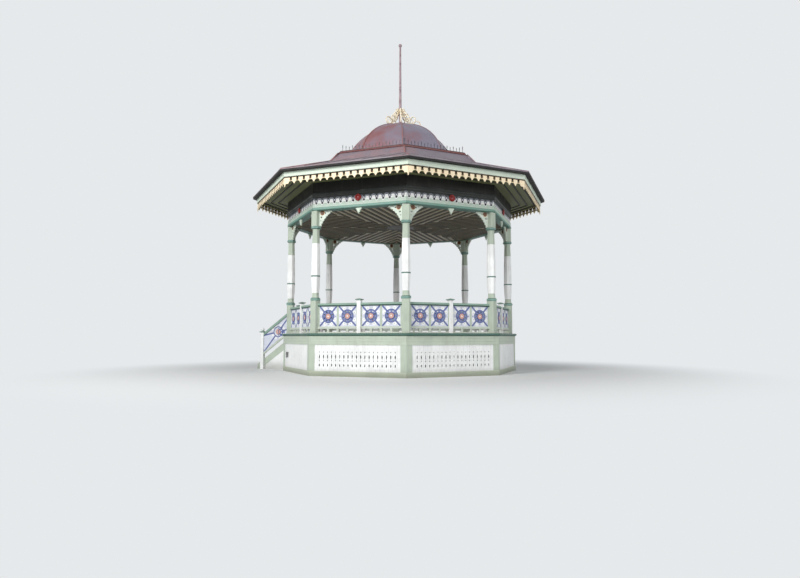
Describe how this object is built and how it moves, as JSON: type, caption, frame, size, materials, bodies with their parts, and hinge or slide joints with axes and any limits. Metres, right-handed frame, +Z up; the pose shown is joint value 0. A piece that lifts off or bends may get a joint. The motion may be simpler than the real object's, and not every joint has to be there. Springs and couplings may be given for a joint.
{
  "type": "octagonal bandstand",
  "caption": "Raised eight-sided open bandstand with fretwork rails and frieze, deep boarded eave and a domed metal roof with a flagpole.",
  "frame": {"origin": "on the ground at the centre of the octagon, under the flagpole", "axes": "+Z up along the flagpole; a corner post stands on -Y, at the front, and on each axis and diagonal; the stair leaves the left rear side, between -X and the rear left diagonal"},
  "size_m": [10.8888, 10.8888, 12.335],
  "materials": {
    "sage_paint": "satin sage-green oil paint on softwood, a little weathered",
    "dark_green_paint": "satin mid-green oil paint on softwood",
    "white_paint": "satin white oil paint on softwood, with sage, lilac and peach picking out the fretwork",
    "cream_paint": "satin cream-gold oil paint on softwood",
    "deck_boards": "bare weathered softwood boards",
    "ceiling_boards": "boards painted in alternate tan and dark stripes",
    "soffit_boards": "boards painted in olive and dark stripes",
    "roundel_paint": "gloss dark red paint on a turned boss",
    "roof_edge_paint": "near-black painted sheet edge",
    "roof_sheet": "weathered mauve-brown copper-coloured sheet, dull",
    "moulding_paint": "dull red-brown painted sheet moulding",
    "cresting_iron": "dark painted iron",
    "gilding": "worn gilding on cast scrolls",
    "pole_paint": "dull pinkish-grey painted tube"
  },
  "bodies": {
    "root": {"skirting": "sage_paint", "corner_boards": "sage_paint", "deck_fascia": "sage_paint", "columns": "sage_paint", "beam_strip": "sage_paint", "brackets": "sage_paint", "beam_pendants": "sage_paint", "eave_fascia": "sage_paint", "stair_strings": "sage_paint", "deck_nosing": "dark_green_paint", "top_rails": "dark_green_paint", "stair_rails": "dark_green_paint", "ring_beam": "dark_green_paint", "cornice": "dark_green_paint", "base_panels": "white_paint", "balustrade_1": "white_paint", "balustrade_2": "white_paint", "balustrade_3": "white_paint", "balustrade_4": "white_paint", "balustrade_5": "white_paint", "balustrade_6": "white_paint", "balustrade_7": "white_paint", "entrance_panels": "white_paint", "rail_newels": "white_paint", "stair_sides": "white_paint", "stair_panels": "white_paint", "stair_newels": "white_paint", "frieze": "white_paint", "stair_risers": "white_paint", "bottom_rails": "cream_paint", "valance": "cream_paint", "deck": "deck_boards", "floor_joists": "deck_boards", "stair_treads": "deck_boards", "ceiling": "ceiling_boards", "soffit": "soffit_boards", "roundels": "roundel_paint", "roof_edge": "roof_edge_paint", "lower_roof": "roof_sheet", "roof_band": "roof_sheet", "dome": "roof_sheet", "dome_ribs": "roof_sheet", "band_moulding": "moulding_paint", "cresting": "cresting_iron", "crown": "gilding", "flagpole": "pole_paint"}
  },
  "joints": []
}
